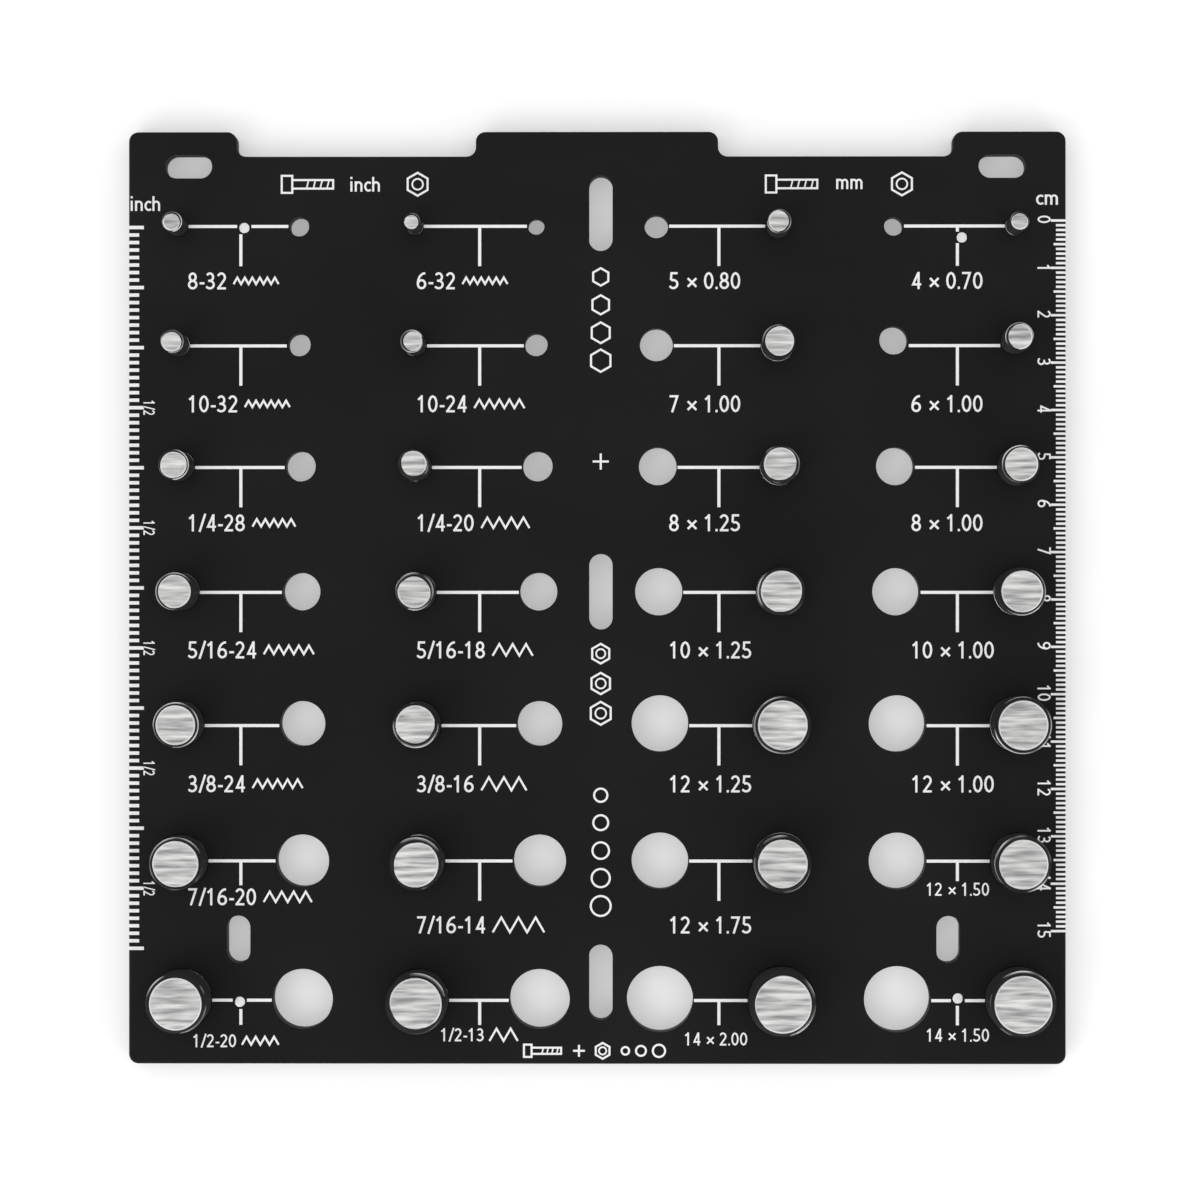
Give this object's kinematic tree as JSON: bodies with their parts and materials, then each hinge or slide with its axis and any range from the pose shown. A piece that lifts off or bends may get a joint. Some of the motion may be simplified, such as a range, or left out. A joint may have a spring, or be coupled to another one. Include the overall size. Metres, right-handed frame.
{
  "type": "bolt identifier board",
  "caption": "Flat black board with pairs of a steel thread stud and a plain gauge hole for sizing nuts and bolts, rulers along both sides and slots to hang it by.",
  "frame": {"origin": "centre of the plate's back face", "axes": "+X to the reader's right across the plate, +Y up the plate towards its tabbed edge, +Z out of the printed face along the studs"},
  "size_m": [0.198, 0.197, 0.0185],
  "materials": {
    "black_plastic": "matte, fine grain",
    "black_oxide_steel": "black oxide, with cut ends bright and lightly brushed",
    "bright_steel": "bright"
  },
  "bodies": {
    "root": {"plate": "black_plastic", "stud_no8-32": "black_oxide_steel", "stud_no10-32": "black_oxide_steel", "stud_1_4-28": "black_oxide_steel", "stud_5_16-24": "black_oxide_steel", "stud_3_8-24": "black_oxide_steel", "stud_7_16-20": "black_oxide_steel", "stud_1_2-20": "black_oxide_steel", "stud_no6-32": "black_oxide_steel", "stud_no10-24": "black_oxide_steel", "stud_1_4-20": "black_oxide_steel", "stud_5_16-18": "black_oxide_steel", "stud_3_8-16": "black_oxide_steel", "stud_7_16-14": "black_oxide_steel", "stud_1_2-13": "black_oxide_steel", "stud_5x0.8": "black_oxide_steel", "stud_7x1.0": "black_oxide_steel", "stud_8x1.25": "black_oxide_steel", "stud_10x1.25": "black_oxide_steel", "stud_12x1.25": "black_oxide_steel", "stud_12x1.75": "black_oxide_steel", "stud_14x2.0": "black_oxide_steel", "stud_4x0.7": "black_oxide_steel", "stud_6x1.0": "black_oxide_steel", "stud_8x1.0": "black_oxide_steel", "stud_10x1.0": "black_oxide_steel", "stud_12x1.0": "black_oxide_steel", "stud_12x1.5": "black_oxide_steel", "stud_14x1.5": "black_oxide_steel", "pin_upper_left": "bright_steel", "pin_upper_right": "bright_steel", "pin_lower_left": "bright_steel", "pin_lower_right": "bright_steel"}
  },
  "joints": []
}
